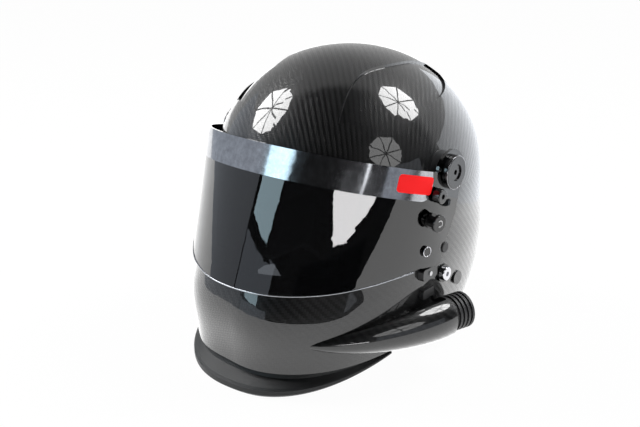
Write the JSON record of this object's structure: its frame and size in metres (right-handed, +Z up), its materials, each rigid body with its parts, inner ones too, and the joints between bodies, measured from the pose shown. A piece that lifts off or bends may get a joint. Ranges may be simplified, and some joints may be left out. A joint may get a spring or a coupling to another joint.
{
  "type": "auto racing helmet",
  "caption": "Full-face racing helmet with a visor that turns up, a forced-air duct on the chin bar, a chin skirt, a foam liner and a ring-buckled chin strap.",
  "frame": {"origin": "on the floor, under the point where the helmet is widest, on its middle plane", "axes": "+Z up, -Y forward (the way the wearer looks), +X to the wearer's left"},
  "size_m": [0.2923, 0.3269, 0.286],
  "materials": {
    "carbon_clearcoat": "clear-coated carbon twill",
    "duct_shell": "gloss",
    "black_rubber": "matt",
    "skirt_rubber": "matt",
    "foam": "matt",
    "liner_fabric": "knitted",
    "strap_webbing": "woven",
    "visor_clear": "light smoke, gloss",
    "mirror_strip": "mirrored film",
    "label_red": "gloss film",
    "black_plastic": "gloss",
    "satin_black": "satin",
    "steel": "satin",
    "bright_steel": "polished"
  },
  "bodies": {
    "helmet": {"outer_shell": "carbon_clearcoat", "base_trim": "black_rubber", "eyeport_gasket": "black_rubber", "chin_skirt": "skirt_rubber", "impact_liner": "foam", "chin_bar_liner": "foam", "crown_pad": "liner_fabric", "brow_pad": "liner_fabric", "neck_roll": "liner_fabric", "cheek_pad_left": "liner_fabric", "cheek_pad_right": "liner_fabric", "chin_strap_left": "strap_webbing", "chin_strap_right": "strap_webbing", "strap_rivets": "satin_black", "side_air_duct": "duct_shell", "duct_nozzle": "skirt_rubber", "duct_outlet_cover": "black_plastic", "pivot_plate_left": "satin_black", "pivot_plate_right": "satin_black", "pivot_screw_left": "black_plastic", "pivot_screw_right": "black_plastic", "pivot_nuts": "steel", "guide_screw_left": "black_plastic", "guide_screw_right": "black_plastic", "visor_stop_left": "black_rubber", "visor_stop_right": "black_rubber", "visor_rest_left": "satin_black", "visor_rest_right": "satin_black", "rest_screws": "steel", "restraint_inserts": "steel", "restraint_washers": "satin_black", "restraint_screws": "bright_steel"},
    "visor": {"visor_shield": "visor_clear", "visor_strip": "mirror_strip", "size_label": "label_red", "visor_studs": "black_plastic"},
    "post_left": {"tear_off_post_left": "black_plastic", "post_nut_left": "steel"},
    "post_right": {"tear_off_post_right": "black_plastic", "post_nut_right": "steel"},
    "ring_outer": {"d_ring_outer": "steel"},
    "ring_inner": {"d_ring_inner": "steel"}
  },
  "joints": [
    {"name": "visor_hinge", "type": "hinge", "parent": "helmet", "child": "visor", "pos_m": [0, -0.008, 0.192], "axis": [-1, 0, 0], "range_deg": [0, 50]},
    {"name": "post_turn_left", "type": "hinge", "parent": "visor", "child": "post_left", "pos_m": [0.12593, -0.036, 0.1535], "axis": [0.9824, -0.1867, 0], "range_deg": [-90, 90]},
    {"name": "post_turn_right", "type": "hinge", "parent": "visor", "child": "post_right", "pos_m": [-0.12593, -0.036, 0.1535], "axis": [-0.9824, -0.1867, 0], "range_deg": [-90, 90]},
    {"name": "ring_swing_outer", "type": "hinge", "parent": "helmet", "child": "ring_outer", "pos_m": [0.06005, 0.02, 0.032], "axis": [0, -1, 0], "range_deg": [0, 60]},
    {"name": "ring_swing_inner", "type": "hinge", "parent": "helmet", "child": "ring_inner", "pos_m": [0.05595, 0.02, 0.032], "axis": [0, 1, 0], "range_deg": [0, 60]}
  ]
}
